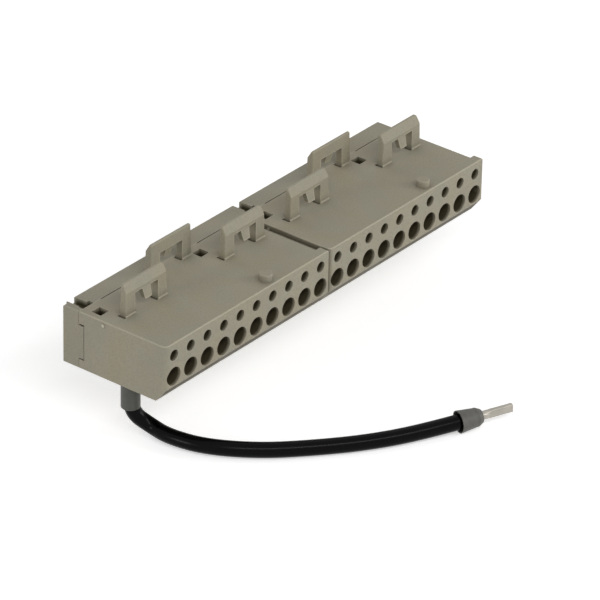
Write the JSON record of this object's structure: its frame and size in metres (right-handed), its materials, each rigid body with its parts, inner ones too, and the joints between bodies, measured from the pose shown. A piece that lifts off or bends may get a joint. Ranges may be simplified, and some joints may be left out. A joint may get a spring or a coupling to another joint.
{
  "type": "shunt terminal block",
  "caption": "Hook-mounted shunt terminal block: two screw-clamp modules side by side, and a short black lead with ferrules clamped in the first way.",
  "frame": {"origin": "on the seat face (the top), straight above the wire entry of way 1", "axes": "+X along the ways, from way 1 to way 20; -Y out of the screw holes; +Z out of the seat face, towards the base the block hangs under"},
  "size_m": [0.1022, 0.0701, 0.0319],
  "materials": {
    "moulded_body": "fine matt moulded, warm grey-beige",
    "shunt_brass": "stamped brass",
    "screw_steel": "zinc plated, dull",
    "cage_steel": "zinc plated, dull",
    "wire_insulation": "soft black, half gloss",
    "ferrule_grey": "satin mid grey",
    "tinned_copper": "bright tinned"
  },
  "bodies": {
    "root": {"housing_left": "moulded_body", "housing_right": "moulded_body", "rear_cover_left": "moulded_body", "rear_cover_right": "moulded_body", "shunt_bar_left": "shunt_brass", "shunt_bar_right": "shunt_brass", "clamp_screws_left": "screw_steel", "clamp_screws_right": "screw_steel", "clamp_cage_01": "cage_steel", "clamp_cage_02": "cage_steel", "clamp_cage_03": "cage_steel", "clamp_cage_04": "cage_steel", "clamp_cage_05": "cage_steel", "clamp_cage_06": "cage_steel", "clamp_cage_07": "cage_steel", "clamp_cage_08": "cage_steel", "clamp_cage_09": "cage_steel", "clamp_cage_10": "cage_steel", "clamp_cage_11": "cage_steel", "clamp_cage_12": "cage_steel", "clamp_cage_13": "cage_steel", "clamp_cage_14": "cage_steel", "clamp_cage_15": "cage_steel", "clamp_cage_16": "cage_steel", "clamp_cage_17": "cage_steel", "clamp_cage_18": "cage_steel", "clamp_cage_19": "cage_steel", "clamp_cage_20": "cage_steel", "lead_wire": "wire_insulation", "entry_ferrule_collar": "ferrule_grey", "free_ferrule_collar": "ferrule_grey", "entry_ferrule_barrel": "tinned_copper", "free_ferrule_barrel": "tinned_copper"}
  },
  "joints": []
}
